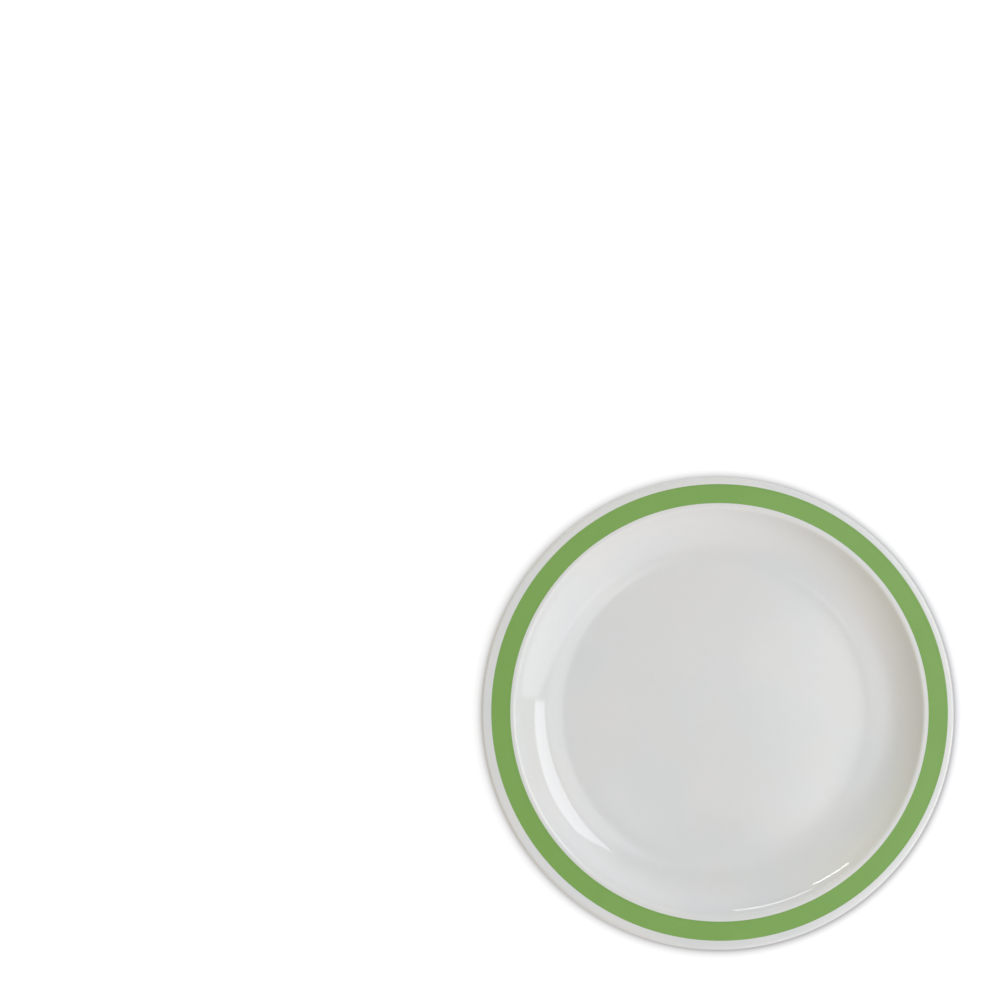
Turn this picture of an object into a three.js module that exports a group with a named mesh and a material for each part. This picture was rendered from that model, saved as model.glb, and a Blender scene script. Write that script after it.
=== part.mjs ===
// A china dinner plate with a narrow rim and one green band, in millimetres.
//
// The plate stands on its foot ring on the plane z = 0 and its axis of revolution is Z.
// It is four pieces of matter that are put on one after another and fired together:
//   china_body   the pressed and fired clay: well, cove, rim and foot ring
//   outer_glaze  the glass coat from the foot's outside, under the rim, over its edge and across the face
//   base_glaze   the separate disc of glaze inside the foot ring, cut off by the wiped foot
//   green_band   the band of enamel that is sunk into the glaze of the rim
//
// Every piece is turned from a closed outline in the (radius, height) plane. The outlines
// of neighbours share their points, so that the pieces meet face to face with no gap.

import * as THREE from "three";

// ---- overall ----
const RIM_RADIUS = 133.5; // a 267 mm (10.5 in) plate
const HEIGHT = 23.4; // table to the top of the rim's outer edge, before rounding
const SEGMENTS = 64; // facets round the axis

// ---- face ----
const WELL_RADIUS = 84.0; // flat of the well, where the cove begins
const WELL_Z = 7.6; // height of the well's surface over the table
const WALL_SLOPE = 46; // steepest slope of the wall, degrees
const LIP_RADIUS = 115.6; // corner between wall and rim, before rounding
const LIP_ROUND = 3.2; // rounding of that corner
const RIM_SLOPE = 3.5; // the rim rises outwards, degrees
const EDGE_THICKNESS = 3.9;
const EDGE_ROUND = 1.85;

// ---- underside ----
const WALL_THICKNESS = 4.2;
const UNDER_LIP_ROUND = 5.0;
const SHOULDER_Z = 3.0; // underside of the well, outside the foot ring
const RECESS_EDGE_Z = 3.0; // underside of the well, just inside the foot ring
const RECESS_CENTRE_Z = 3.2; // it rises a little to the middle, so the plate can't rock

// ---- foot ring ----
const FOOT_OUTER_TOP = 81.2;
const FOOT_OUTER = 80.2;
const FOOT_INNER = 75.6;
const FOOT_INNER_TOP = 74.4;
const FOOT_FILLET = 1.2;
const FOOT_ROUND = 0.8;

// ---- coats ----
const GLAZE = 0.3; // thickness of the glaze
const GLAZE_LINE_Z = 1.1; // the foot is wiped clean of glaze below this height
const GLAZE_BEAD = 0.35; // the coat tapers out over this height above the line
const BAND_INNER = 118.1;
const BAND_OUTER = 128.9;
const BAND_SUNK = 0.12; // depth of the enamel in the glaze
const BAND_PROUD = 0.05; // height of the enamel above it
const BAND_SHOULDER = 0.35; // width of its rounded edges

const rad = THREE.MathUtils.degToRad;

// ---- outline tools ----

// A corner of an outline: radius from the axis, height, rounding, and steps of that rounding.
const corner = (r, z, round = 0, steps = 1) => ({ r, z, round, steps });

// The outline moved into the clay, each straight by its own distance. The clay lies on the right of the direction of travel.
function movedIn(corners, distances) {
  const sides = distances.map((d, i) => {
    const a = corners[i],
      b = corners[i + 1],
      length = Math.hypot(b.r - a.r, b.z - a.z),
      u = { r: (b.r - a.r) / length, z: (b.z - a.z) / length };
    return { u, r: a.r + u.z * d, z: a.z - u.r * d, d };
  });
  return corners.map((c, i) => {
    const before = sides[Math.max(0, i - 1)],
      after = sides[Math.min(sides.length - 1, i)],
      cross = before.u.r * after.u.z - before.u.z * after.u.r;
    if (i === 0 || i === corners.length - 1) {
      // an end on the axis stays on the axis
      const s = i === 0 ? after : before,
        t = -s.r / s.u.r;
      return corner(0, s.z + t * s.u.z);
    }
    if (Math.abs(cross) < 1e-9)
      return corner(
        c.r + after.u.z * after.d,
        c.z - after.u.r * after.d,
        c.round,
        c.steps,
      );
    const t =
      ((after.r - before.r) * after.u.z - (after.z - before.z) * after.u.r) /
      cross;
    const d = Math.min(before.d, after.d);
    return corner(
      before.r + t * before.u.r,
      before.z + t * before.u.z,
      c.round ? c.round + Math.sign(cross) * d : 0,
      c.steps,
    );
  });
}

// The points of an outline, each corner with a rounding replaced by an arc. Points belonging to corner i are in group i.
function rounded(corners) {
  return corners.map((c, i) => {
    if (!c.round) return [new THREE.Vector2(c.r, c.z)];
    const p = new THREE.Vector2(c.r, c.z),
      a = new THREE.Vector2(corners[i - 1].r, corners[i - 1].z)
        .sub(p)
        .normalize(),
      b = new THREE.Vector2(corners[i + 1].r, corners[i + 1].z)
        .sub(p)
        .normalize(),
      half = Math.acos(THREE.MathUtils.clamp(a.dot(b), -1, 1)) / 2,
      tangent = c.round / Math.tan(half),
      centre = p
        .clone()
        .addScaledVector(a.clone().add(b).normalize(), c.round / Math.sin(half)),
      from = p.clone().addScaledVector(a, tangent).sub(centre),
      to = p.clone().addScaledVector(b, tangent).sub(centre),
      start = from.angle();
    let turn = to.angle() - start;
    if (turn > Math.PI) turn -= 2 * Math.PI;
    if (turn < -Math.PI) turn += 2 * Math.PI;
    return Array.from({ length: c.steps + 1 }, (_, k) => {
      const angle = start + (turn * k) / c.steps;
      return new THREE.Vector2(
        centre.x + c.round * Math.cos(angle),
        centre.y + c.round * Math.sin(angle),
      );
    });
  });
}

// Turns an outline about the axis and stands the axis up along +Z. The outlines here run clockwise, and the lathe takes them the other way.
function turned(outline) {
  return new THREE.LatheGeometry([...outline].reverse(), SEGMENTS).rotateX(
    Math.PI / 2,
  );
}

// ---- the finished surface ----

const slope = rad(WALL_SLOPE),
  rise = Math.tan(rad(RIM_SLOPE)),
  lipZ = HEIGHT - (RIM_RADIUS - LIP_RADIUS) * rise,
  wallFoot = LIP_RADIUS - (lipZ - WELL_Z) / Math.tan(slope),
  COVE_ROUND = (wallFoot - WELL_RADIUS) / Math.tan(slope / 2),
  underEdgeZ = HEIGHT - EDGE_THICKNESS;

// The outside of the wall runs beside the inside, one wall thickness away.
const outR = wallFoot + WALL_THICKNESS * Math.sin(slope),
  outZ = WELL_Z - WALL_THICKNESS * Math.cos(slope),
  alongUnderLip =
    (underEdgeZ + (outR - RIM_RADIUS) * rise - outZ) /
    (Math.sin(slope) - Math.cos(slope) * rise),
  underLip = {
    r: outR + alongUnderLip * Math.cos(slope),
    z: outZ + alongUnderLip * Math.sin(slope),
  },
  shoulderR = outR + (SHOULDER_Z - outZ) / Math.tan(slope);

const footSide = (z, bottom, top, topZ) => bottom + ((top - bottom) * z) / topZ;
const GLAZE_LINE_OUT = 8,
  GLAZE_LINE_IN = 11; // which corners below are the glaze lines

const finished = [
  corner(0, WELL_Z),
  corner(wallFoot, WELL_Z, COVE_ROUND, 6),
  corner(LIP_RADIUS, lipZ, LIP_ROUND, 3),
  corner(RIM_RADIUS, HEIGHT, EDGE_ROUND, 3),
  corner(RIM_RADIUS, underEdgeZ, EDGE_ROUND, 3),
  corner(underLip.r, underLip.z, UNDER_LIP_ROUND, 2),
  corner(shoulderR, SHOULDER_Z, COVE_ROUND + WALL_THICKNESS, 4),
  corner(FOOT_OUTER_TOP, SHOULDER_Z, FOOT_FILLET, 2),
  corner(
    footSide(GLAZE_LINE_Z, FOOT_OUTER, FOOT_OUTER_TOP, SHOULDER_Z),
    GLAZE_LINE_Z,
  ),
  corner(FOOT_OUTER, 0, FOOT_ROUND, 2),
  corner(FOOT_INNER, 0, FOOT_ROUND, 2),
  corner(
    footSide(GLAZE_LINE_Z, FOOT_INNER, FOOT_INNER_TOP, RECESS_EDGE_Z),
    GLAZE_LINE_Z,
  ),
  corner(FOOT_INNER_TOP, RECESS_EDGE_Z, FOOT_FILLET, 2),
  corner(0, RECESS_CENTRE_Z),
];

// ---- the clay, one glaze thickness inside it, but bare under the foot ring ----

const bareFoot = 9; // the straight from corner 9 to corner 10
const clay = rounded(
  movedIn(
    finished,
    finished.slice(1).map((_, i) => (i === bareFoot ? 0 : GLAZE)),
  ),
);
const surface = rounded(finished);

const chinaBody = turned(clay.flat());

// ---- the outer glaze, with a shallow seat for the band ----

const onRim = (r, depth = 0) =>
  new THREE.Vector2(
    r + depth * Math.sin(rad(RIM_SLOPE)),
    lipZ + (r - LIP_RADIUS) * rise - depth * Math.cos(rad(RIM_SLOPE)),
  );
const seat = [
  onRim(BAND_INNER),
  onRim(BAND_INNER, BAND_SUNK),
  onRim(BAND_OUTER, BAND_SUNK),
  onRim(BAND_OUTER),
];

// The coat's outer end, a little above the line where the clay becomes bare.
const beadOut = new THREE.Vector2(
  footSide(GLAZE_LINE_Z + GLAZE_BEAD, FOOT_OUTER, FOOT_OUTER_TOP, SHOULDER_Z),
  GLAZE_LINE_Z + GLAZE_BEAD,
);
const beadIn = new THREE.Vector2(
  footSide(
    GLAZE_LINE_Z + GLAZE_BEAD,
    FOOT_INNER,
    FOOT_INNER_TOP,
    RECESS_EDGE_Z,
  ),
  GLAZE_LINE_Z + GLAZE_BEAD,
);

const outerGlaze = turned([
  ...surface.slice(0, 3).flat(),
  ...seat,
  ...surface.slice(3, GLAZE_LINE_OUT).flat(),
  beadOut,
  ...clay
    .slice(0, GLAZE_LINE_OUT + 1)
    .flat()
    .reverse(),
]);

// ---- the disc of glaze inside the foot ring ----

const baseGlaze = turned([
  ...clay.slice(GLAZE_LINE_IN).flat().reverse(),
  beadIn,
  ...surface.slice(GLAZE_LINE_IN + 1).flat(),
]);

// ---- the enamel band ----

const greenBand = turned([
  seat[1],
  seat[0],
  onRim(BAND_INNER + BAND_SHOULDER, -BAND_PROUD),
  onRim(BAND_OUTER - BAND_SHOULDER, -BAND_PROUD),
  seat[3],
  seat[2],
  seat[1],
]);

// ---- the assembly ----

const china = new THREE.MeshStandardMaterial({
  color: 0xe6dfd0,
  roughness: 0.75,
  metalness: 0,
});
const glaze = new THREE.MeshStandardMaterial({
  color: 0xe2e3df,
  roughness: 0.12,
  metalness: 0,
});
const enamel = new THREE.MeshStandardMaterial({
  color: 0x81aa5b,
  roughness: 0.15,
  metalness: 0,
});

const piece = (name, geometry, material) => {
  const mesh = new THREE.Mesh(geometry, material);
  mesh.name = name;
  return mesh;
};

const plate = new THREE.Group();
plate.name = "dinner_plate";
plate.add(
  piece("china_body", chinaBody, china),
  piece("outer_glaze", outerGlaze, glaze),
  piece("base_glaze", baseGlaze, glaze.clone()),
  piece("green_band", greenBand, enamel),
);

export default plate;
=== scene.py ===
"""The looks of the green-banded china dinner plate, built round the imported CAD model."""

import math

import bpy
import numpy as np
from mathutils import Matrix, Vector


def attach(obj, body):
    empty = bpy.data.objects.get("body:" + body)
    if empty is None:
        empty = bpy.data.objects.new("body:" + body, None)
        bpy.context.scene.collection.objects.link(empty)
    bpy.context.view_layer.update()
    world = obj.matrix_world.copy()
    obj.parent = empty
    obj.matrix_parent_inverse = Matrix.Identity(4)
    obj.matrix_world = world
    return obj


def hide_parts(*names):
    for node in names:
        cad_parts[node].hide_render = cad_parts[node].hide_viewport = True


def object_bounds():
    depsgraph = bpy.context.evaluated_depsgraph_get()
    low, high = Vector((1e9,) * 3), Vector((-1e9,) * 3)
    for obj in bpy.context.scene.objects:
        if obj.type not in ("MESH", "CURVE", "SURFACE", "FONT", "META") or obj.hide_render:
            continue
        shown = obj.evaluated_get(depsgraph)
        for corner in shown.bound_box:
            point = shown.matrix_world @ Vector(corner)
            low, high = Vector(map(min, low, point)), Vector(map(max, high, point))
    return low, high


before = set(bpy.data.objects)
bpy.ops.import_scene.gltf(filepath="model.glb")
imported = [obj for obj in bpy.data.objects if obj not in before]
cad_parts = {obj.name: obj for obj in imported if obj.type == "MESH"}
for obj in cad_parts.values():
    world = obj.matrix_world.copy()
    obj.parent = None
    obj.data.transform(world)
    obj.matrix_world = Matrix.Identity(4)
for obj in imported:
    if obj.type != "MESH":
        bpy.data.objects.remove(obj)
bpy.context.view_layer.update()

MM = 0.001

# ------------------------------------------------------------------ sizes, as in the CAD source, in mm
RIM_RADIUS = 133.5
HEIGHT = 23.4
WELL_RADIUS = 84.0
WELL_Z = 7.6
WALL_SLOPE = 46.0
LIP_RADIUS = 115.6
LIP_ROUND = 3.2
RIM_SLOPE = 3.5
EDGE_THICKNESS = 3.9
EDGE_ROUND = 1.85
WALL_THICKNESS = 4.2
UNDER_LIP_ROUND = 5.0
SHOULDER_Z = 3.0
RECESS_EDGE_Z = 3.0
RECESS_CENTRE_Z = 3.2
FOOT_OUTER_TOP = 81.2
FOOT_OUTER = 80.2
FOOT_INNER = 75.6
FOOT_INNER_TOP = 74.4
FOOT_FILLET = 1.2
FOOT_ROUND = 0.8
GLAZE = 0.3
GLAZE_LINE_Z = 1.1
BAND_INNER = 118.1
BAND_OUTER = 128.9
BAND_SUNK = 0.12
BAND_PROUD = 0.05
BAND_SHOULDER = 0.35

SEGMENTS = 320


# ------------------------------------------------------------------ outlines, as (radius, height)
def moved_in(corners, distances):
    """The outline moved into the clay, each straight by its own distance."""
    sides = []
    for i, d in enumerate(distances):
        a, b = corners[i], corners[i + 1]
        length = math.hypot(b[0] - a[0], b[1] - a[1])
        u = ((b[0] - a[0]) / length, (b[1] - a[1]) / length)
        sides.append((u, a[0] + u[1] * d, a[1] - u[0] * d, d))
    out = []
    last = len(corners) - 1
    for i, c in enumerate(corners):
        before, after = sides[max(0, i - 1)], sides[min(len(sides) - 1, i)]
        if i in (0, last):
            s = after if i == 0 else before
            out.append((0.0, s[2] - s[1] / s[0][0] * s[0][1], 0, 1))
            continue
        cross = before[0][0] * after[0][1] - before[0][1] * after[0][0]
        if abs(cross) < 1e-9:
            out.append(
                (
                    c[0] + after[0][1] * after[3],
                    c[1] - after[0][0] * after[3],
                    c[2],
                    c[3],
                )
            )
            continue
        t = (
            (after[1] - before[1]) * after[0][1] - (after[2] - before[2]) * after[0][0]
        ) / cross
        d = min(before[3], after[3])
        out.append(
            (
                before[1] + t * before[0][0],
                before[2] + t * before[0][1],
                c[2] + math.copysign(1, cross) * d if c[2] else 0,
                c[3],
            )
        )
    return out


def rounded(corners):
    """A list of points for each corner, with an arc at each one that has a rounding."""
    groups = []
    for i, (r, z, radius, steps) in enumerate(corners):
        if not radius:
            groups.append([(r, z)])
            continue
        p = np.array((r, z))
        a = np.array(corners[i - 1][:2]) - p
        b = np.array(corners[i + 1][:2]) - p
        a, b = a / np.linalg.norm(a), b / np.linalg.norm(b)
        half = math.acos(max(-1, min(1, a @ b))) / 2
        tangent = radius / math.tan(half)
        middle = (a + b) / np.linalg.norm(a + b)
        centre = p + middle * radius / math.sin(half)
        start, end = p + a * tangent - centre, p + b * tangent - centre
        s = math.atan2(start[1], start[0])
        turn = (
            math.atan2(end[1], end[0]) - s + math.pi
        ) % (2 * math.pi) - math.pi
        groups.append(
            [
                (
                    centre[0] + radius * math.cos(s + turn * k / steps),
                    centre[1] + radius * math.sin(s + turn * k / steps),
                )
                for k in range(steps + 1)
            ]
        )
    return groups


def dense(points, longest):
    """The polyline with its long straights divided, so that no step is longer than this."""
    out = [points[0]]
    for a, b in zip(points, points[1:]):
        n = max(1, math.ceil(math.hypot(b[0] - a[0], b[1] - a[1]) / longest))
        out += [
            (a[0] + (b[0] - a[0]) * k / n, a[1] + (b[1] - a[1]) * k / n)
            for k in range(1, n + 1)
        ]
    return out


slope = math.radians(WALL_SLOPE)
rise = math.tan(math.radians(RIM_SLOPE))
lip_z = HEIGHT - (RIM_RADIUS - LIP_RADIUS) * rise
wall_foot = LIP_RADIUS - (lip_z - WELL_Z) / math.tan(slope)
COVE_ROUND = (wall_foot - WELL_RADIUS) / math.tan(slope / 2)
under_edge_z = HEIGHT - EDGE_THICKNESS
out_r = wall_foot + WALL_THICKNESS * math.sin(slope)
out_z = WELL_Z - WALL_THICKNESS * math.cos(slope)
along = (under_edge_z + (out_r - RIM_RADIUS) * rise - out_z) / (
    math.sin(slope) - math.cos(slope) * rise
)
under_lip = (out_r + along * math.cos(slope), out_z + along * math.sin(slope))
shoulder_r = out_r + (SHOULDER_Z - out_z) / math.tan(slope)


def foot_side(z, bottom, top, top_z):
    return bottom + (top - bottom) * z / top_z


finished = [
    (0, WELL_Z, 0, 1),
    (wall_foot, WELL_Z, COVE_ROUND, 26),
    (LIP_RADIUS, lip_z, LIP_ROUND, 12),
    (RIM_RADIUS, HEIGHT, EDGE_ROUND, 9),
    (RIM_RADIUS, under_edge_z, EDGE_ROUND, 9),
    (under_lip[0], under_lip[1], UNDER_LIP_ROUND, 8),
    (shoulder_r, SHOULDER_Z, COVE_ROUND + WALL_THICKNESS, 18),
    (FOOT_OUTER_TOP, SHOULDER_Z, FOOT_FILLET, 6),
    (
        foot_side(GLAZE_LINE_Z, FOOT_OUTER, FOOT_OUTER_TOP, SHOULDER_Z),
        GLAZE_LINE_Z,
        0,
        1,
    ),
    (FOOT_OUTER, 0, FOOT_ROUND, 6),
    (FOOT_INNER, 0, FOOT_ROUND, 6),
    (
        foot_side(GLAZE_LINE_Z, FOOT_INNER, FOOT_INNER_TOP, RECESS_EDGE_Z),
        GLAZE_LINE_Z,
        0,
        1,
    ),
    (FOOT_INNER_TOP, RECESS_EDGE_Z, FOOT_FILLET, 6),
    (0, RECESS_CENTRE_Z, 0, 1),
]
LINE_OUT, LINE_IN = 8, 11
surface = rounded(finished)
clay = rounded(moved_in(finished, [0 if i == 9 else GLAZE for i in range(13)]))


def flat(groups):
    return [p for g in groups for p in g]


def on_rim(r, depth=0.0):
    a = math.radians(RIM_SLOPE)
    return (
        r + depth * math.sin(a),
        lip_z + (r - LIP_RADIUS) * rise - depth * math.cos(a),
    )


# ------------------------------------------------------------------ what makes each fired plate its own
def kiln(co):
    """Points moved by a few hundredths of a millimetre, as firing warps a plate. The foot stays flat."""
    x, y, z = co[:, 0], co[:, 1], co[:, 2]
    r, a = np.hypot(x, y), np.arctan2(y, x)

    def ramp(v, low, high):
        t = np.clip((v - low) / (high - low), 0, 1)
        return t * t * (3 - 2 * t)

    rim = ramp(r, 88, 132)
    off_foot = ramp(z, 0.6, 2.4)
    swell = 1 + rim * (0.00055 * np.cos(2 * a - 0.7) + 0.0002 * np.cos(3 * a + 0.4))
    lift = rim * (0.09 * np.cos(2 * a + 0.6) + 0.035 * np.cos(3 * a - 1.1))
    lift = lift - 0.12 * (1 - np.clip(r / WELL_RADIUS, 0, 1) ** 2)
    waves = np.zeros_like(r)
    for size, angle, phase, height in (
        (61.0, 0.4, 0.3, 0.016),
        (47.0, 1.9, 2.1, 0.012),
        (38.0, 3.1, 4.4, 0.009),
        (29.0, 4.6, 1.2, 0.006),
        (24.0, 5.5, 5.1, 0.005),
    ):
        waves += height * np.sin(
            2 * math.pi * (x * math.cos(angle) + y * math.sin(angle)) / size + phase
        )
    # the lip and the band run a little off centre, so the white edge is wider at the left
    aside = ramp(r, 90, 112) * (1 - ramp(r, 129.5, 133.2))
    x, y = x + 1.15 * aside, y + 0.50 * aside
    # the flat of the well eases into the cove over 16 mm, with no sudden change of curvature
    reach = np.linspace(0.0, RIM_RADIUS + 1, 2200)
    bend = (ramp(reach, WELL_RADIUS - 8, WELL_RADIUS + 8) - (reach > WELL_RADIUS)) / COVE_ROUND
    step = reach[1] - reach[0]
    ease = np.cumsum(np.cumsum(bend) * step) * step * (1 - ramp(reach, WELL_RADIUS + 8, 113))
    lift = lift + np.interp(r, reach, ease) * ramp(z, 5.4, 6.8)
    # a jigger leaves a few very shallow rings as it presses the clay
    rings = 0.004 * np.sin(2 * math.pi * r / 9.3 + 0.5) * np.clip(r / 30, 0, 1)
    return np.stack(
        [x * swell, y * swell, z + off_foot * (lift + waves + rings)], axis=1
    )


# ------------------------------------------------------------------ turned meshes with an unwrapped map
def turned(name, outline, islands, sharp=42.0):
    """A closed mesh turned about Z from an outline, which starts and ends on the axis or closes on itself.
    islands: (first step, last step, (u, v) of its middle, radius on the map of its widest step, whether the outline runs outwards there)."""
    closed = outline[0] != outline[-1] and outline[0][0] > 1e-6
    points = list(outline)
    if outline[0] == outline[-1]:
        points, closed = points[:-1], True
    n = len(points)
    verts, rings = [], []
    angles = 2 * math.pi * np.arange(SEGMENTS) / SEGMENTS
    for r, z in points:
        if r < 1e-6:
            rings.append([len(verts)])
            verts.append((0.0, 0.0, z))
        else:
            rings.append(range(len(verts), len(verts) + SEGMENTS))
            verts += list(
                zip(r * np.cos(angles), r * np.sin(angles), np.full(SEGMENTS, z))
            )
    steps = [(k, (k + 1) % n) for k in range(n if closed else n - 1)]
    length = [
        math.hypot(
            points[b][0] - points[a][0],
            points[b][1] - points[a][1],
        )
        for a, b in steps
    ]
    along_map = {}
    for first, last, middle, widest, outwards in islands:
        picked = range(first, last)
        at = 0.0 if outwards else sum(length[k] for k in picked)
        start = points[steps[first][0]][0] if outwards else 0.0
        end = 0.0 if outwards else points[steps[last - 1][1]][0]
        spots = {}
        for k in picked:
            a = at + start + end
            at += length[k] if outwards else -length[k]
            spots[k] = (a, at + start + end)
        most = max(max(v) for v in spots.values())
        for k, (a, b) in spots.items():
            along_map[k] = (middle, a / most * widest, b / most * widest)
    faces, maps = [], []
    for k, (ka, kb) in enumerate(steps):
        a, b = rings[ka], rings[kb]
        if len(a) == 1 and len(b) == 1:
            continue
        middle, ra, rb = along_map[k]
        for i in range(SEGMENTS):
            j = (i + 1) % SEGMENTS
            ti, tj = 2 * math.pi * i / SEGMENTS, 2 * math.pi * (i + 1) / SEGMENTS

            def spot(rr, t, m=middle):
                return (m[0] + rr * math.cos(t), m[1] + rr * math.sin(t))

            if len(a) == 1:
                faces.append((a[0], b[i], b[j]))
                maps.append((spot(ra, ti), spot(rb, ti), spot(rb, tj)))
            elif len(b) == 1:
                faces.append((a[i], b[0], a[j]))
                maps.append((spot(ra, ti), spot(rb, ti), spot(ra, tj)))
            else:
                faces.append((a[i], b[i], b[j], a[j]))
                maps.append((spot(ra, ti), spot(rb, ti), spot(rb, tj), spot(ra, tj)))
    co = np.array(verts, float)
    volume = 0.0
    for f in faces[:: max(1, len(faces) // 200000)]:
        for k in range(1, len(f) - 1):
            volume += co[f[0]] @ np.cross(co[f[k]], co[f[k + 1]])
    if volume < 0:
        faces = [f[::-1] for f in faces]
        maps = [m[::-1] for m in maps]
    co = kiln(co) * MM
    mesh = bpy.data.meshes.new(name)
    mesh.from_pydata(co.tolist(), [], faces)
    layer = mesh.uv_layers.new(name="OFBake")
    layer.uv.foreach_set(
        "vector", np.array([c for m in maps for c in m], np.float32).ravel()
    )
    mesh.validate()
    mesh.update()
    mesh.shade_smooth()
    mesh.set_sharp_from_angle(angle=math.radians(sharp))
    piece = bpy.data.objects.new(name, mesh)
    bpy.context.scene.collection.objects.link(piece)
    return piece


# ------------------------------------------------------------------ shader building
class Tree:
    """Short names for the nodes of one material or world."""

    def __init__(self, owner):
        owner.use_nodes = True
        self.nt = owner.node_tree
        self.nt.nodes.clear()

    def node(self, kind, **settings):
        n = self.nt.nodes.new(kind)
        for k, v in settings.items():
            setattr(n, k, v)
        return n

    def put(self, socket, value):
        if isinstance(value, bpy.types.NodeSocket):
            self.nt.links.new(value, socket)
        else:
            socket.default_value = value

    def maths(self, operation, a, b=0.0, c=0.0, clamp=False):
        n = self.node("ShaderNodeMath", operation=operation, use_clamp=clamp)
        for socket, value in zip(n.inputs, (a, b, c)):
            self.put(socket, value)
        return n.outputs[0]

    def add(self, a, b):
        return self.maths("ADD", a, b)

    def times(self, a, b):
        return self.maths("MULTIPLY", a, b)

    def ramp(self, value, low, high, to_low=0.0, to_high=1.0, smooth=True):
        n = self.node(
            "ShaderNodeMapRange",
            interpolation_type="SMOOTHSTEP" if smooth else "LINEAR",
        )
        self.put(n.inputs["Value"], value)
        n.inputs["From Min"].default_value = low
        n.inputs["From Max"].default_value = high
        n.inputs["To Min"].default_value = to_low
        n.inputs["To Max"].default_value = to_high
        return n.outputs["Result"]

    def bell(self, value, centre, width):
        """1 at the centre, falling smoothly to 0 at this distance from it."""
        away = self.maths("ABSOLUTE", self.maths("SUBTRACT", value, centre))
        return self.ramp(away, 0.0, width, 1.0, 0.0)

    def noise(self, vector, scale, detail=2.0, rough=0.5, seed=0.0, distortion=0.0):
        n = self.node("ShaderNodeTexNoise", noise_dimensions="4D")
        self.put(n.inputs["Vector"], vector)
        n.inputs["W"].default_value = seed
        n.inputs["Scale"].default_value = scale
        n.inputs["Detail"].default_value = detail
        n.inputs["Roughness"].default_value = rough
        n.inputs["Distortion"].default_value = distortion
        return n.outputs["Fac"]

    def cells(self, vector, scale, seed=0.0):
        """Distance from, and random number of, the nearest of scattered points."""
        n = self.node("ShaderNodeTexVoronoi", voronoi_dimensions="4D")
        self.put(n.inputs["Vector"], vector)
        n.inputs["W"].default_value = seed
        n.inputs["Scale"].default_value = scale
        apart = self.node("ShaderNodeSeparateColor")
        self.nt.links.new(n.outputs["Color"], apart.inputs[0])
        return n.outputs["Distance"], apart.outputs[0], apart.outputs[1]

    def mix(self, share, a, b, blend="MIX"):
        n = self.node("ShaderNodeMix", data_type="RGBA", blend_type=blend)
        self.put(n.inputs[0], share)
        for socket, value in ((n.inputs[6], a), (n.inputs[7], b)):
            if not isinstance(value, bpy.types.NodeSocket):
                value = (*value, 1.0)
            self.put(socket, value)
        return n.outputs[2]

    def bump(self, height, strength, distance, normal=None):
        n = self.node("ShaderNodeBump")
        n.inputs["Strength"].default_value = strength
        n.inputs["Distance"].default_value = distance
        self.put(n.inputs["Height"], height)
        if normal is not None:
            self.put(n.inputs["Normal"], normal)
        return n.outputs[0]

    def place(self):
        """The point on the piece, its distance from the plate's axis, its height and its angle."""
        at = self.node("ShaderNodeTexCoord").outputs["Object"]
        apart = self.node("ShaderNodeSeparateXYZ")
        self.nt.links.new(at, apart.inputs[0])
        x, y, z = apart.outputs
        r = self.maths(
            "SQRT", self.add(self.times(x, x), self.times(y, y))
        )
        return at, r, z, self.maths("ARCTAN2", y, x)

    def finish(self, **sockets):
        """The piece's Principled shader, with these inputs, and the output."""
        shader = self.node("ShaderNodeBsdfPrincipled")
        for k, v in sockets.items():
            self.put(shader.inputs[k.replace("_", " ")], v)
        out = self.node("ShaderNodeOutputMaterial")
        self.nt.links.new(shader.outputs[0], out.inputs["Surface"])
        return shader


def pits(t, at, scale, size, share, seed):
    """A mask of tiny round spots: a share of the scattered points keep theirs."""
    distance, pick, grow = t.cells(at, scale, seed)
    kept = t.maths("LESS_THAN", pick, share)
    radius = t.maths("MULTIPLY_ADD", grow, 0.6 * size, 0.5 * size)
    spot = t.maths("SUBTRACT", 1.0, t.maths("DIVIDE", distance, radius), clamp=True)
    return t.times(kept, spot)


def hairlines(t, at, angle, seed, length=0.022, width=0.00035, density=0.70):
    """A mask of short, faint, nearly straight marks that all run about one way."""
    turn = t.node("ShaderNodeMapping")
    turn.inputs["Rotation"].default_value = (0, 0, angle)
    turn.inputs["Scale"].default_value = (1.0, length / width, 1.0)
    t.put(turn.inputs["Vector"], at)
    fine = t.noise(turn.outputs[0], 1.0 / length, 1.0, 0.4, seed, 0.15)
    line = t.ramp(fine, density, density + 0.05)
    where = t.ramp(t.noise(at, 28.0, 1.0, 0.5, seed + 3.0), 0.50, 0.68)
    return t.times(line, where)


WHITE = (0.752, 0.752, 0.706)
COOL = (0.722, 0.742, 0.712)
WARM = (0.766, 0.728, 0.650)
GREEN = (0.215, 0.402, 0.094)


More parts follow.
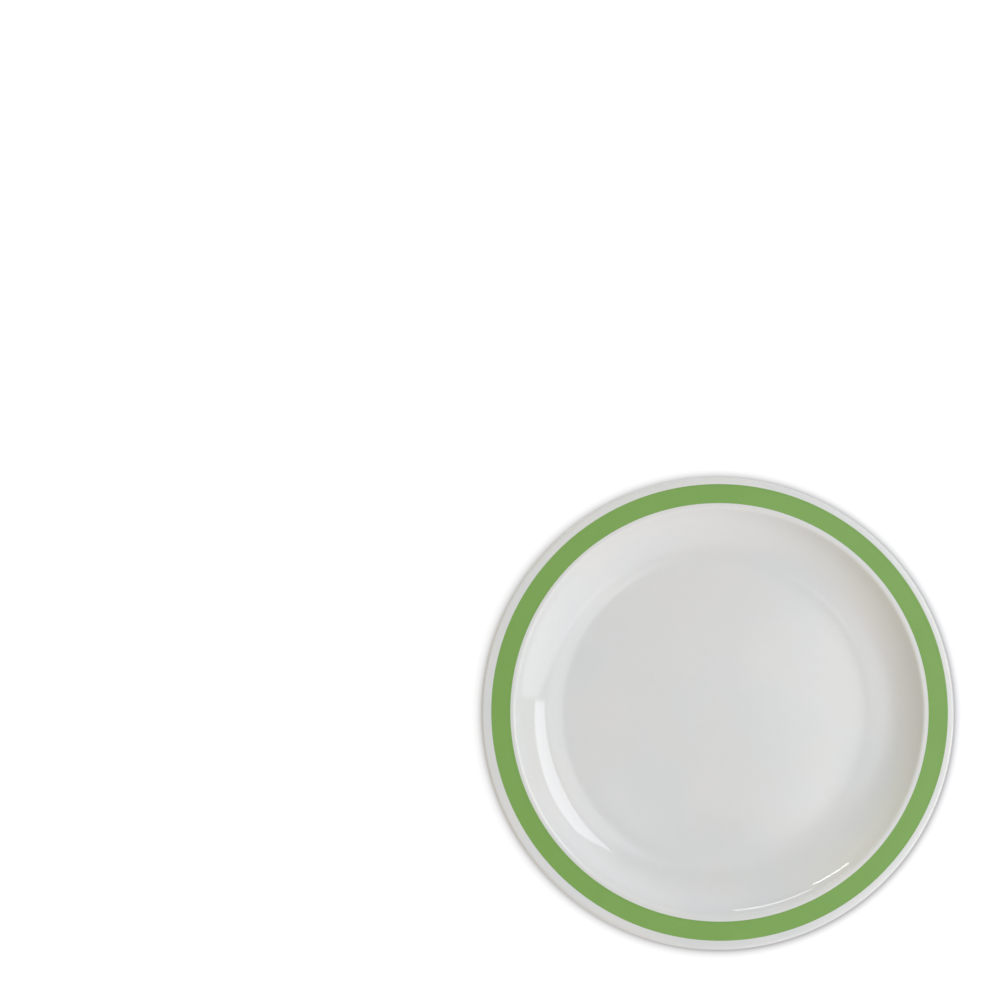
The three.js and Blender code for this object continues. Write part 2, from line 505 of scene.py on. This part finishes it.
def glaze_material(name, face):
    """Clear gloss glaze over white china: thick and faintly green where it pools, thin and warm where it runs off an edge."""
    mat = bpy.data.materials.new(name)
    t = Tree(mat)
    at, r, z, angle = t.place()
    # cloudy tone, a few millimetres to a few centimetres across
    cloud = t.noise(at, 22.0, 3.0, 0.55, 1.3)
    fine = t.noise(at, 240.0, 3.0, 0.6, 7.7)
    base = t.mix(t.ramp(cloud, 0.35, 0.68), WHITE, COOL)
    base = t.mix(
        t.times(t.ramp(fine, 0.3, 0.75), 0.10), base, (0.68, 0.675, 0.63)
    )
    # the coat runs together in the cove at the foot of the wall, unevenly
    wander = t.noise(at, 14.0, 2.0, 0.5, 4.2)
    pool_r = t.add(r, t.maths("MULTIPLY_ADD", wander, 0.006, -0.003))
    if face:
        above = t.ramp(z, 0.0066, 0.0072)
        pool = t.times(t.times(t.bell(pool_r, 0.0880, 0.0100), above), 0.08)
        base = t.mix(pool, base, (0.655, 0.690, 0.645))
        # it thins over the lip and over the rim's edge, and the body shows warm through it
        lip = t.times(t.bell(r, 0.1162, 0.0026), t.ramp(z, 0.0188, 0.0206))
        edge = t.times(t.ramp(r, 0.1314, 0.1334), t.ramp(z, 0.0187, 0.0200))
        thin = t.maths("MAXIMUM", t.times(lip, 0.16), t.times(edge, 0.14))
        thin = t.times(thin, t.ramp(wander, 0.25, 0.70, 0.65, 1.15))
        base = t.mix(thin, base, WARM)
        # the last of the coat over the foot, with the warm line where glaze and bare clay met in the fire
        line = t.times(t.bell(z, 0.00120, 0.0007), t.ramp(r, 0.0835, 0.0820))
    else:
        pool = t.times(t.bell(pool_r, 0.0722, 0.0030), 0.35)
        base = t.mix(pool, base, (0.655, 0.690, 0.645))
        line = t.bell(z, 0.00120, 0.0007)
    base = t.mix(t.times(line, 0.55), base, (0.70, 0.60, 0.44))
    # iron specks and pinholes
    speck = pits(t, at, 62.0, 0.0160, 0.035, 2.0)
    base = t.mix(t.times(t.ramp(speck, 0.0, 0.6), 0.30), base, (0.34, 0.27, 0.18))
    hole = pits(t, at, 88.0, 0.0150, 0.05, 9.0)
    base = t.mix(t.times(t.ramp(hole, 0.0, 0.5), 0.18), base, (0.42, 0.40, 0.36))
    # the gloss, with the faint marks that cutlery and stacking leave in the well
    gloss = t.ramp(t.noise(at, 60.0, 3.0, 0.6, 5.5), 0.3, 0.7, 0.055, 0.085)
    if face:
        well = t.times(t.ramp(r, 0.094, 0.078), t.ramp(z, 0.0068, 0.0073))
        marks = t.maths(
            "MAXIMUM",
            hairlines(t, at, 0.35, 11.0),
            t.maths(
                "MAXIMUM",
                hairlines(t, at, 1.25, 17.0),
                hairlines(t, at, -0.80, 23.0, length=0.016),
            ),
        )
        marks = t.times(marks, well)
        gloss = t.maths("MULTIPLY_ADD", marks, 0.10, gloss)
        base = t.mix(t.times(marks, 0.05), base, (0.42, 0.42, 0.41))
        # a worn ring where the next plate's foot stands
        ring = t.times(t.bell(r, 0.0779, 0.0020), t.ramp(z, 0.0068, 0.0073))
        ring = t.times(ring, t.ramp(t.noise(at, 130.0, 3.0, 0.6, 31.0), 0.42, 0.62))
        gloss = t.maths("MULTIPLY_ADD", ring, 0.045, gloss)
    # orange peel, and the slower waves of a poured coat
    peel = t.noise(at, 520.0, 2.0, 0.45, 3.3)
    wave = t.noise(at, 75.0, 2.0, 0.4, 8.8)
    normal = t.bump(peel, 0.10, 0.000020)
    normal = t.bump(wave, 0.22, 0.000060, normal)
    normal = t.bump(t.maths("SUBTRACT", 1.0, hole), 0.6, 0.00006, normal)
    t.finish(
        Base_Color=base,
        Roughness=gloss,
        IOR=1.53,
        Coat_Weight=0.35,
        Coat_Roughness=0.03,
        Coat_IOR=1.5,
        Normal=normal,
    )
    return mat


def enamel_material(name):
    """On-glaze green enamel: a hair darker and thicker along its edges, with brush-thin variation round the plate."""
    mat = bpy.data.materials.new(name)
    t = Tree(mat)
    at, r, z, angle = t.place()
    broad = t.noise(at, 30.0, 3.0, 0.55, 2.2)
    fine = t.noise(at, 600.0, 3.0, 0.6, 6.1)
    base = t.mix(t.ramp(broad, 0.3, 0.7), GREEN, (0.205, 0.389, 0.088))
    base = t.mix(t.times(t.ramp(fine, 0.35, 0.75), 0.16), base, (0.238, 0.427, 0.110))
    inner = t.bell(r, BAND_INNER * MM, 0.00075)
    outer = t.bell(r, BAND_OUTER * MM, 0.00075)
    rim = t.maths("MAXIMUM", inner, outer)
    base = t.mix(t.times(rim, 0.30), base, (0.178, 0.338, 0.080))
    # where the stroke ends over its own beginning, a slightly deeper patch
    lap = t.times(t.bell(angle, -2.15, 0.035), 0.22)
    base = t.mix(lap, base, (0.185, 0.350, 0.084))
    hole = pits(t, at, 110.0, 0.016, 0.05, 14.0)
    base = t.mix(t.times(t.ramp(hole, 0.0, 0.5), 0.25), base, (0.36, 0.50, 0.24))
    gloss = t.ramp(t.noise(at, 90.0, 3.0, 0.6, 4.5), 0.3, 0.7, 0.16, 0.23)
    normal = t.bump(t.noise(at, 700.0, 2.0, 0.5, 3.9), 0.16, 0.000020)
    normal = t.bump(t.noise(at, 80.0, 2.0, 0.4, 8.1), 0.20, 0.000060, normal)
    t.finish(
        Base_Color=base,
        Roughness=gloss,
        IOR=1.42,
        Normal=normal,
    )
    return mat


def clay_material(name):
    """Fired, ground china, bare at the foot: matte and fine-grained, with grey rub marks from shelves and tables."""
    mat = bpy.data.materials.new(name)
    t = Tree(mat)
    at, r, z, angle = t.place()
    grain = t.noise(at, 2400.0, 4.0, 0.65, 1.9)
    broad = t.noise(at, 55.0, 3.0, 0.6, 6.6)
    base = t.mix(t.ramp(broad, 0.3, 0.7), (0.72, 0.685, 0.60), (0.66, 0.615, 0.52))
    base = t.mix(t.times(t.ramp(grain, 0.35, 0.8), 0.30), base, (0.55, 0.51, 0.43))
    rub = t.times(
        t.ramp(t.noise(at, 95.0, 4.0, 0.65, 12.0), 0.50, 0.66), t.ramp(z, 0.0006, 0.0001)
    )
    base = t.mix(t.times(rub, 0.50), base, (0.30, 0.29, 0.275))
    speck = pits(t, at, 420.0, 0.10, 0.08, 3.0)
    base = t.mix(t.times(speck, 0.5), base, (0.30, 0.22, 0.14))
    rough = t.ramp(rub, 0.0, 1.0, 0.78, 0.60)
    normal = t.bump(grain, 0.45, 0.00006)
    t.finish(Base_Color=base, Roughness=rough, IOR=1.5, Normal=normal)
    return mat


# ------------------------------------------------------------------ the four pieces
seat = [
    on_rim(BAND_INNER),
    on_rim(BAND_INNER, BAND_SUNK),
    on_rim(BAND_OUTER, BAND_SUNK),
    on_rim(BAND_OUTER),
]


def bead(side):
    """The rounded end of a coat at the foot, from the surface down to the glaze line."""
    if side > 0:
        bottom, top, top_z = FOOT_OUTER, FOOT_OUTER_TOP, SHOULDER_Z
        line = clay[LINE_OUT][0]
    else:
        bottom, top, top_z = FOOT_INNER, FOOT_INNER_TOP, RECESS_EDGE_Z
        line = clay[LINE_IN][0]
    z0, z1 = GLAZE_LINE_Z + 0.38, line[1]
    out = []
    for k in range(7):
        q = k / 6
        z = z0 + (z1 - z0) * q
        # the coat keeps its thickness and then rolls in to nothing
        sides = foot_side(z, bottom, top, top_z)
        clay_r = line[0] + (z - z1) * (top - bottom) / top_z
        share = math.sqrt(max(0.0, 1 - q**2.4))
        out.append((clay_r + (sides - clay_r) * share, z))
    return out[:-1]


outer_top = dense(flat(surface[:3]), 4.0)
outer_rest = dense(flat(surface[3:LINE_OUT]), 4.0)
under_coat = dense(flat(clay[: LINE_OUT + 1])[::-1], 6.0)
across_seat = dense(seat, 2.0)
widest = max(
    range(len(outer_rest)), key=lambda i: (outer_rest[i][0], -outer_rest[i][1])
)
outline = outer_top + across_seat + outer_rest + bead(1) + under_coat
edge_at = len(outer_top) + len(across_seat) + widest
inner_from = len(outer_top) + len(across_seat) + len(outer_rest) + 6
outer_glaze = turned(
    "glaze_coat",
    outline,
    [
        (0, edge_at, (0.300, 0.300), 0.292, True),
        (edge_at, inner_from, (0.745, 0.745), 0.245, False),
        (inner_from, len(outline) - 1, (0.84, 0.16), 0.140, False),
    ],
)

recess = dense(flat(surface[LINE_IN + 1 :]), 4.0)
base_clay = dense(flat(clay[LINE_IN:])[::-1], 6.0)
outline = base_clay + bead(-1)[::-1] + recess
base_from = len(base_clay) - 1
base_glaze = turned(
    "base_coat",
    outline,
    [
        (0, base_from, (0.84, 0.16), 0.140, True),
        (base_from, len(outline) - 1, (0.36, 0.64), 0.350, False),
    ],
)

top_clay = dense(flat(clay[:4]), 6.0)
low_clay = dense(flat(clay[4 : LINE_OUT + 1]), 6.0)
foot_clay = dense([clay[LINE_OUT][0]] + flat(clay[9:11]) + [clay[LINE_IN][0]], 0.7)[1:]
roof_clay = dense(flat(clay[LINE_IN:]), 6.0)[1:]
outline = top_clay + low_clay + foot_clay + roof_clay
a, b, c = (
    len(top_clay),
    len(top_clay) + len(low_clay) - 1,
    len(top_clay) + len(low_clay) + len(foot_clay) - 1,
)
body = turned(
    "china_clay",
    outline,
    [
        (0, a, (0.85, 0.15), 0.140, True),
        (a, b, (0.15, 0.85), 0.140, False),
        (b, c, (0.42, 0.42), 0.40, False),
        (c, len(outline) - 1, (0.87, 0.87), 0.120, False),
    ],
)

band_top = []
for k in range(9):  # rounded up from the inner edge, nearly flat, and down again
    q = math.sin(math.pi / 2 * k / 8)
    band_top.append(
        on_rim(BAND_INNER + BAND_SHOULDER * (1 - math.cos(math.pi / 2 * k / 8)), -BAND_PROUD * q)
    )
for k in range(9):
    q = math.cos(math.pi / 2 * k / 8)
    band_top.append(
        on_rim(BAND_OUTER - BAND_SHOULDER * (1 - math.sin(math.pi / 2 * k / 8)), -BAND_PROUD * q)
    )
band_top = dense(band_top, 1.0)
outline = [seat[1]] + band_top + dense([seat[2], seat[1]], 1.5)
first = 1 + len(band_top)
band = turned(
    "enamel_band",
    outline,
    [
        (0, first, (0.5, 0.5), 0.49, True),
        (first, len(outline) - 1, (0.5, 0.5), 0.41, False),
    ],
    sharp=60.0,
)

for piece, node, slot, mat in (
    (outer_glaze, "outer_glaze", "glaze", glaze_material("glaze_white", True)),
    (base_glaze, "base_glaze", "base_glaze", glaze_material("glaze_base", False)),
    (body, "china_body", "china", clay_material("china_bare")),
    (band, "green_band", "green_enamel", enamel_material("enamel_green")),
):
    piece.data.materials.append(mat)
    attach(piece, "root")
    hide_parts(node)

# ------------------------------------------------------------------ the floor
low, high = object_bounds()
middle = (low + high) / 2
mesh = bpy.data.meshes.new("studio_floor")
ring_r = [0.0, 0.2, 0.5, 1.0, 2.0, 5.0, 12.0, 40.0]
verts, faces = [(0.0, 0.0, 0.0)], []
for r in ring_r[1:]:
    verts += [
        (r * math.cos(2 * math.pi * i / 96), r * math.sin(2 * math.pi * i / 96), 0.0)
        for i in range(96)
    ]
for k in range(len(ring_r) - 1):
    for i in range(96):
        j = (i + 1) % 96
        if k == 0:
            faces.append((0, 1 + i, 1 + j))
        else:
            p, q = 1 + (k - 1) * 96, 1 + k * 96
            faces.append((p + i, q + i, q + j, p + j))
mesh.from_pydata(verts, [], faces)
mesh.update()
floor = bpy.data.objects.new("studio_floor", mesh)
floor.location = (0.0, 0.0, low.z - 0.00002)
bpy.context.scene.collection.objects.link(floor)
FLOOR_WHITE = 0.25
FLOOR_GLOW = 0.92
mat = bpy.data.materials.new("studio_floor")
t = Tree(mat)
at, r, z, angle = t.place()
near = t.node("ShaderNodeBsdfDiffuse")
near.inputs["Color"].default_value = (FLOOR_WHITE, FLOOR_WHITE, FLOOR_WHITE, 1)
glow = t.node("ShaderNodeEmission")
glow.inputs["Color"].default_value = (1, 1, 1, 1)
# painted shadow: the floor's own glow, which keeps it white, is dimmed under the plate and in a narrow ring just past
# its edge, centred a little to the right of the axis; other surfaces get 0.6 of the glow that the camera sees
apart = t.node("ShaderNodeSeparateXYZ")
t.put(apart.inputs[0], at)
dx = t.maths("SUBTRACT", apart.outputs[0], 0.0019)
dy = t.maths("SUBTRACT", apart.outputs[1], 0.0004)
from_plate = t.maths("SQRT", t.add(t.times(dx, dx), t.times(dy, dy)))
# painted shadow in the floor's glow: low under the plate, then rising back to full white a few millimetres past the
# rim's edge
painted_shadow_under = t.ramp(from_plate, 0.090, 0.1343, 0.10, 0.34)
beyond = t.maths("MAXIMUM", t.times(t.maths("SUBTRACT", from_plate, 0.1343), 400.0), 0.0)
painted_shadow_fade = t.times(t.maths("SUBTRACT", 1.0, t.maths("EXPONENT", t.times(beyond, -1.0))), 0.66)
seen = t.add(0.6, t.times(t.node("ShaderNodeLightPath").outputs["Is Camera Ray"], 0.4))
t.put(glow.inputs["Strength"], t.times(t.times(t.add(painted_shadow_under, painted_shadow_fade), FLOOR_GLOW), seen))
lit = t.node("ShaderNodeAddShader")
t.put(lit.inputs[0], near.outputs[0])
t.put(lit.inputs[1], glow.outputs[0])
far = t.node("ShaderNodeEmission")
far.inputs["Color"].default_value = (1, 1, 1, 1)
far.inputs["Strength"].default_value = 1.0
both = t.node("ShaderNodeMixShader")
t.put(both.inputs[0], t.ramp(r, 0.35, 1.6))
t.put(both.inputs[1], lit.outputs[0])
t.put(both.inputs[2], far.outputs[0])
out = t.node("ShaderNodeOutputMaterial")
t.put(out.inputs["Surface"], both.outputs[0])
mesh.materials.append(mat)

# ------------------------------------------------------------------ the light
# A soft room: broad lobes of light by direction. (azimuth from +X, elevation, sharpness, colour)
LOBES = [
    (0, 12, 8.0, (0.487, 0.450, 0.243)),
    (45, 12, 8.0, (1.082, 1.035, 1.130)),
    (90, 12, 8.0, (0.351, 0.409, 0.687)),
    (135, 12, 8.0, (1.222, 1.113, 0.729)),
    (180, 12, 8.0, (0.000, 0.075, 0.000)),
    (225, 12, 8.0, (0.373, 0.230, 0.000)),
    (270, 12, 8.0, (0.737, 0.773, 0.862)),
    (315, 12, 8.0, (0.201, 0.123, 0.089)),
    (0, 45, 8.0, (0.405, 0.357, 0.171)),
    (120, 45, 8.0, (0.262, 0.356, 0.417)),
    (180, 45, 8.0, (0.135, 0.000, 0.000)),
    (240, 45, 8.0, (0.954, 0.864, 0.756)),
    (300, 45, 8.0, (0.131, 0.219, 0.443)),
    (180, 70, 25.0, (1.115, 1.230, 1.374)),
    (240, 70, 25.0, (0.000, 0.005, 0.195)),
]
AMBIENT = (0.000, 0.000, 0.000)

world = bpy.data.worlds.new("studio")
bpy.context.scene.world = world
t = Tree(world)
way = t.node("ShaderNodeTexCoord").outputs["Generated"]
total = AMBIENT
lobe_nodes = []
for az, el, sharp, colour in LOBES:
    d = (
        math.cos(math.radians(az)) * math.cos(math.radians(el)),
        math.sin(math.radians(az)) * math.cos(math.radians(el)),
        math.sin(math.radians(el)),
    )
    dot = t.node("ShaderNodeVectorMath", operation="DOT_PRODUCT")
    t.put(dot.inputs[0], way)
    dot.inputs[1].default_value = d
    strength = t.maths(
        "POWER", t.maths("MAXIMUM", dot.outputs["Value"], 0.0), sharp
    )
    scaled = t.node("ShaderNodeVectorMath", operation="SCALE")
    scaled.inputs[0].default_value = colour
    t.put(scaled.inputs["Scale"], strength)
    summed = t.node("ShaderNodeVectorMath", operation="ADD")
    t.put(summed.inputs[0], total)
    t.put(summed.inputs[1], scaled.outputs[0])
    lobe_nodes.append(scaled)
    if len(lobe_nodes) == 1:
        ambient_node = summed
    total = summed.outputs[0]
room = t.node("ShaderNodeBackground")
t.put(room.inputs["Color"], total)
plain = t.node("ShaderNodeBackground")
plain.inputs["Color"].default_value = (1, 1, 1, 1)
seen = t.node("ShaderNodeLightPath")
both = t.node("ShaderNodeMixShader")
t.put(both.inputs[0], seen.outputs["Is Camera Ray"])
t.put(both.inputs[1], room.outputs[0])
t.put(both.inputs[2], plain.outputs[0])
out = t.node("ShaderNodeOutputWorld")
t.put(out.inputs["Surface"], both.outputs[0])


def card(name, corners, colour, strength, fade=None):
    """A flat lit panel that faces the plate. Only the light it gives is seen. fade: (axis, low, high, value at low, value at high) of its strength."""
    mesh = bpy.data.meshes.new(name)
    mesh.from_pydata([tuple(c) for c in corners], [], [tuple(range(len(corners)))])
    mesh.update()
    panel = bpy.data.objects.new(name, mesh)
    bpy.context.scene.collection.objects.link(panel)
    panel.visible_camera = False
    panel.visible_shadow = False
    mat = bpy.data.materials.new(name)
    t = Tree(mat)
    shine = t.node("ShaderNodeEmission")
    shine.name = "shine"
    shine.inputs["Color"].default_value = (*colour, 1)
    shine.inputs["Strength"].default_value = strength
    if fade:
        apart = t.node("ShaderNodeSeparateXYZ")
        t.put(apart.inputs[0], t.node("ShaderNodeTexCoord").outputs["Object"])
        value = None
        for axis, a, b, va, vb in fade:
            v = t.ramp(apart.outputs[axis], a, b, va, vb, smooth=True)
            value = v if value is None else t.times(value, v)
        t.put(shine.inputs["Strength"], t.times(value, strength))
    # its light adds to what is behind it, so a faded edge leaves no outline
    through = t.node("ShaderNodeBsdfTransparent")
    through.name = "through"
    both = t.node("ShaderNodeAddShader")
    t.put(both.inputs[0], through.outputs[0])
    t.put(both.inputs[1], shine.outputs[0])
    out = t.node("ShaderNodeOutputMaterial")
    t.put(out.inputs["Surface"], both.outputs[0])
    mesh.materials.append(mat)
    return panel


# ------------------------------------------------------------------ the camera: a long lens, almost straight above
PX = 1000
SCALE_PX_PER_M = 1769.5  # at the rim's height
LENS, SENSOR = 200.0, 36.0
PLATE_AT = (717.6, 712.7)  # where the plate's middle falls in the frame
reach = PX / SCALE_PX_PER_M / SENSOR * LENS
elevation, azimuth = math.radians(86.0), math.radians(-60.0)
back = Vector(
    (
        math.sin(azimuth) * math.cos(elevation),
        -math.cos(azimuth) * math.cos(elevation),
        math.sin(elevation),
    )
)
rim_middle = Vector((0.0, 0.0, high.z - 0.001))
eye = rim_middle + back * reach
camera = bpy.data.objects.new("camera", bpy.data.cameras.new("camera"))
camera.data.lens = LENS
camera.data.sensor_width = SENSOR
camera.data.clip_start = 0.01
camera.data.clip_end = 100.0
bpy.context.scene.collection.objects.link(camera)
# the camera turns about its own place until the plate's middle is at PLATE_AT
off = Vector(
    (
        (PLATE_AT[0] - PX / 2) / PX * SENSOR / LENS,
        (PX / 2 - PLATE_AT[1]) / PX * SENSOR / LENS,
        -1.0,
    )
).normalized()
aim = -back
for _ in range(20):
    z_axis = -aim
    y_axis = (Vector((0, 1, 0)) - z_axis * z_axis.y).normalized()
    x_axis = y_axis.cross(z_axis)
    turn = Matrix((x_axis, y_axis, z_axis)).transposed()
    error = (-back) - turn @ off
    aim = (aim + error).normalized()
camera.matrix_world = Matrix.Translation(eye) @ turn.to_4x4()
bpy.context.scene.camera = camera

# ------------------------------------------------------------------ panels
DRUM = 1.2  # the upright panels stand round the plate at this distance, in metres


def mirrored(px_angle, px_r):
    """A point of the cove and the way it mirrors the camera's view: angle clockwise from +X, distance from the axis in frame pixels."""
    a = -math.radians(px_angle)
    r = px_r / SCALE_PX_PER_M / MM
    lean = math.asin(min(math.sin(slope), max(0.0, (r - WELL_RADIUS) / COVE_ROUND)))
    p = Vector((r * math.cos(a), r * math.sin(a), WELL_Z + COVE_ROUND * (1 - math.cos(lean)))) * MM
    n = Vector((-math.cos(a) * math.sin(lean), -math.sin(a) * math.sin(lean), math.cos(lean)))
    view = (p - eye).normalized()
    return p, view - 2 * view.dot(n) * n


def on_drum(px_angle, px_r):
    """Where that mirrored view meets the drum."""
    p, d = mirrored(px_angle, px_r)
    a, b, c = d.x**2 + d.y**2, 2 * (p.x * d.x + p.y * d.y), p.x**2 + p.y**2 - DRUM**2
    return p + d * ((-b + math.sqrt(b * b - 4 * a * c)) / (2 * a))


def drum_panel(name, stations, colours, low=None):
    """A panel on the drum through stations (angle, upper radius, lower radius) of where it shows in the cove, with a colour at each."""
    corners, faces = [], []
    for angle, top_r, low_r in stations:
        top = on_drum(angle, top_r)
        end = on_drum(angle, low_r) if low_r else Vector((top.x, top.y, low))
        corners += [top, end]
    for k in range(len(stations) - 1):
        faces.append((2 * k, 2 * k + 1, 2 * k + 3, 2 * k + 2))
    mesh = bpy.data.meshes.new(name)
    mesh.from_pydata([tuple(c) for c in corners], [], faces)
    tint = mesh.color_attributes.new("tint", "FLOAT_COLOR", "POINT")
    for k, colour in enumerate(colours):
        tint.data[2 * k].color = tint.data[2 * k + 1].color = (*colour, 1.0)
    mesh.update()
    panel = bpy.data.objects.new(name, mesh)
    bpy.context.scene.collection.objects.link(panel)
    panel.visible_camera = False
    panel.visible_shadow = False
    mat = bpy.data.materials.new(name)
    t = Tree(mat)
    shine = t.node("ShaderNodeEmission")
    shine.name = "shine"
    held = t.node("ShaderNodeVertexColor", layer_name="tint")
    gain = t.node("ShaderNodeVectorMath", operation="MULTIPLY")
    gain.name = "gain"
    t.put(gain.inputs[0], held.outputs["Color"])
    gain.inputs[1].default_value = (1.0, 1.0, 1.0)
    t.put(shine.inputs["Color"], gain.outputs[0])
    through = t.node("ShaderNodeBsdfTransparent")
    through.name = "through"
    both = t.node("ShaderNodeAddShader")
    t.put(both.inputs[0], through.outputs[0])
    t.put(both.inputs[1], shine.outputs[0])
    out = t.node("ShaderNodeOutputMaterial")
    t.put(out.inputs["Surface"], both.outputs[0])
    mesh.materials.append(mat)
    return panel


# the tall window: a slanting top at its far end
WINDOW = [
    (128, 174.5, 176.0), (131, 174.3, 179.0), (136, 174.0, 184.0), (140, 173.8, 186.5), (148, 173.3, 187.6),
    (156, 173.0, 187.6), (164, 173.0, 186.6), (172, 173.2, 185.8), (178, 173.5, 185.4), (184, 173.8, 185.0),
]
window = drum_panel("window_panel", WINDOW, [(2.560, 2.620, 2.980)] * len(WINDOW))
# a pale wall further round, brightest by the window
SIDE = [(185, 183, 0), (188, 179, 0), (192, 175.5, 0), (200, 172, 0), (212, 169.5, 0), (226, 168, 0), (242, 167, 0), (258, 166.5, 0), (274, 166.5, 0), (290, 167, 0)]
fade = (1.0, 1.0, 1.0, 1.0, 0.95, 0.8, 0.55, 0.35, 0.2, 0.05)
side = drum_panel("side_panel", SIDE, [(1.122 * f, 1.145 * f, 1.272 * f) for f in fade], low=0.02)


def strip(name, ends, colour):
    """A thin lit strip low down: its two ends as (azimuth, elevation of its lower and upper edge), in degrees seen from the plate."""
    corners = []
    for az, e0, e1 in ends:
        a = math.radians(az)
        for e in (e0, e1):
            corners.append(Vector((DRUM * math.cos(a), DRUM * math.sin(a), 0.018 + DRUM * math.tan(math.radians(e)))))
    return card(name, [corners[0], corners[1], corners[3], corners[2]], colour, 1.0)


lamp = strip("lamp_panel", ((126.0, 5.9, 8.6), (114.0, 10.6, 13.8)), (8.0, 8.0, 8.2))
lamp_two = strip("lamp_low_panel", ((113.0, 3.4, 5.6), (90.0, 3.2, 5.3)), (5.2, 5.2, 5.2))

# overhead panels, seen mirrored in the flat of the well
OVER_Z = 0.95


def over(x_mm, y_mm):
    """Where the well's flat, at this point, mirrors the camera's view onto a level plane at OVER_Z."""
    p = Vector((x_mm * MM, y_mm * MM, WELL_Z * MM))
    d = (p - eye).normalized()
    d.z = -d.z
    return p + d * ((OVER_Z - p.z) / d.z)


def overhead_panel(name, patches, sheets, gap):
    """A level panel over the plate, lit in soft patches: (x, y, inner and outer radius in mm, as they show in the well, colour).
    Sheets are large patches, cut off above a height y where they have one, that leave the gap between them unlit."""
    corners = [over(x, y) for x, y in ((-180, -420), (640, -420), (640, 420), (-180, 420))]
    panel = card(name, corners, (1.0, 1.0, 1.0), 1.0)
    t = Tree.__new__(Tree)
    t.nt = panel.active_material.node_tree
    at = t.node("ShaderNodeTexCoord").outputs["Object"]
    apart = t.node("ShaderNodeSeparateXYZ")
    t.put(apart.inputs[0], at)
    size = (over(1000, 0) - over(0, 0)).length / 1000

    def patch(x, y, inner, outer, colour, edge=None, times=None):
        away = t.node("ShaderNodeVectorMath", operation="DISTANCE")
        t.put(away.inputs[0], at)
        away.inputs[1].default_value = over(x, y)
        share = t.ramp(away.outputs["Value"], inner * size, outer * size, 1.0, 0.0)
        if edge is not None:
            share = t.times(share, t.ramp(apart.outputs[1], over(0, edge - 0.8).y, over(0, edge + 0.8).y, 1.0, 0.0))
        if times is not None:
            share = t.times(share, times)
        n = t.node("ShaderNodeVectorMath", operation="SCALE")
        n.inputs[0].default_value = colour
        t.put(n.inputs["Scale"], share)
        return n

    units = [patch(*p) for p in patches]
    right = t.maths("SUBTRACT", apart.outputs[0], over(0, 0).x)
    up = t.maths("SUBTRACT", apart.outputs[1], over(0, 0).y)
    side = t.maths("SUBTRACT", t.maths("ABSOLUTE", up), t.times(right, 0.85))
    out = t.maths("SQRT", t.add(t.times(right, right), t.times(up, up)))
    share = t.times(t.ramp(right, 8 * size, 72 * size), t.ramp(side, 20 * size, 170 * size, 1.0, 0.0))
    share = t.times(share, t.ramp(out, 200 * size, 620 * size, 1.0, 0.0))
    fan = t.node("ShaderNodeVectorMath", operation="SCALE")
    fan.inputs[0].default_value = FAN
    t.put(fan.inputs["Scale"], share)
    units.append(fan)
    hole = t.node("ShaderNodeVectorMath", operation="DISTANCE")
    t.put(hole.inputs[0], at)
    hole.inputs[1].default_value = over(gap[0], gap[1])
    hole = t.ramp(hole.outputs["Value"], gap[2] * size, gap[3] * size)
    t.put(t.nt.nodes["through"].inputs["Color"], t.add(0.3, t.times(hole, 0.7)))
    units += [patch(0, 0, 92, 150, colour, edge, hole) for edge, colour in sheets]
    total = None
    for n in units:
        if total is None:
            total = n.outputs[0]
        else:
            both = t.node("ShaderNodeVectorMath", operation="ADD")
            t.put(both.inputs[0], total)
            t.put(both.inputs[1], n.outputs[0])
            total = both.outputs[0]
    t.put(t.nt.nodes["shine"].inputs["Color"], total)
    return units


# soft patches, and one pale wall at the right that rises from x = 8 to 72 and fades far out
OVERHEAD = [(-72.0, -72.0, 0.0, 62.0, (0.400, 0.340, 0.200)), (24.0, 24.0, 0.0, 62.0, (0.250, 0.230, 0.270))]
FAN = (1.18, 1.25, 1.29)
SHEETS = [(None, (0.10, 0.10, 0.10)), (-40.5, (0.12, 0.13, 0.22))]
overhead = overhead_panel("overhead_panel", OVERHEAD, SHEETS, (-4.3, -74.0, 6.0, 40.0))

bpy.context.scene.view_settings.view_transform = "Standard"
bpy.context.scene.view_settings.look = "None"
bpy.context.scene.view_settings.exposure = 0.0
bpy.context.scene.view_settings.gamma = 1.0
